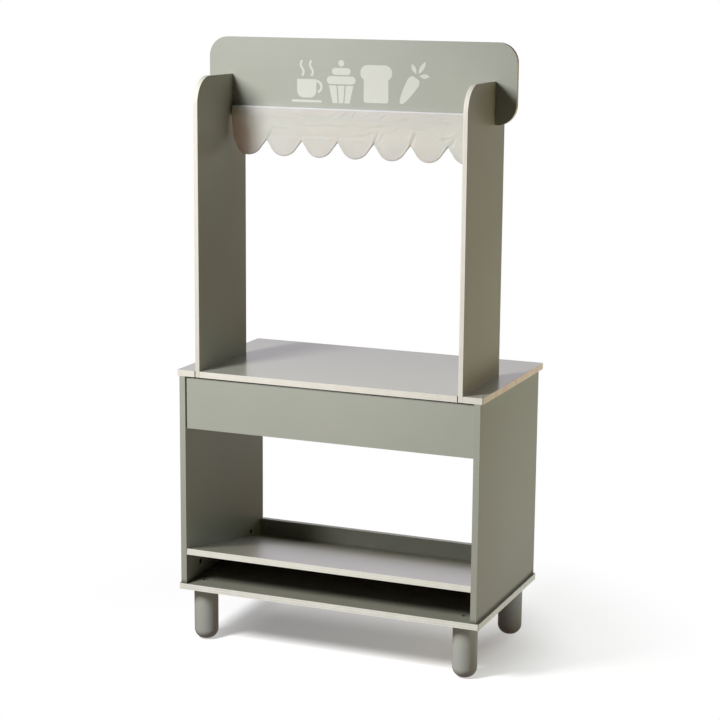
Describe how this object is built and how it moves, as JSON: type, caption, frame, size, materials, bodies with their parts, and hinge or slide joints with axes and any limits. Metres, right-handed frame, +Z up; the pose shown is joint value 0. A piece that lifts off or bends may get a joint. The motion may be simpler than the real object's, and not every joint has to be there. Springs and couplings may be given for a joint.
{
  "type": "toy market stall",
  "caption": "Child-size play market stall: counter and sloping shelf on round legs, two posts carrying a lift-off sign board with a scalloped cloth valance.",
  "frame": {"origin": "on the floor, under the middle of the counter board", "axes": "+Z up, -Y towards the front where the apron and the sign's face are, +X to the right seen from the front"},
  "size_m": [0.632, 0.366, 1.19],
  "materials": {
    "edge_ply": "satin sage paint on the faces, bare birch ply on the edges",
    "panel_paint": "satin sage paint all over",
    "leg_paint": "satin sage-grey paint on turned beech",
    "steel": "zinc plated",
    "beech": "plain beech",
    "canvas": "natural cotton canvas"
  },
  "bodies": {
    "stall": {"base_board": "edge_ply", "left_side_panel": "panel_paint", "right_side_panel": "panel_paint", "front_apron": "panel_paint", "rear_rail": "edge_ply", "shelf": "edge_ply", "counter_top": "edge_ply", "left_post": "edge_ply", "right_post": "edge_ply", "front_left_leg": "leg_paint", "front_right_leg": "leg_paint", "rear_left_leg": "leg_paint", "rear_right_leg": "leg_paint", "leg_bolts": "steel", "leg_inserts": "steel", "base_bolts": "steel", "barrel_nuts": "steel", "cam_pins": "steel", "cam_locks": "steel", "apron_dowels": "beech", "rail_dowels": "beech", "shelf_dowels": "beech", "counter_dowels": "beech", "post_brackets": "steel", "bracket_screws": "steel"},
    "sign": {"sign_board": "edge_ply", "valance_batten": "beech", "batten_screws": "steel", "valance_pocket": "canvas"},
    "valance": {"valance_flap": "canvas"}
  },
  "joints": [
    {"name": "sign_lift", "type": "slide", "parent": "stall", "child": "sign", "axis": [0, 0, 1], "range_m": [0, 0.09]},
    {"name": "valance_swing", "type": "hinge", "parent": "sign", "child": "valance", "pos_m": [0, -0.0428, 1.0382], "axis": [-1, 0, 0], "range_deg": [0, 70]}
  ]
}
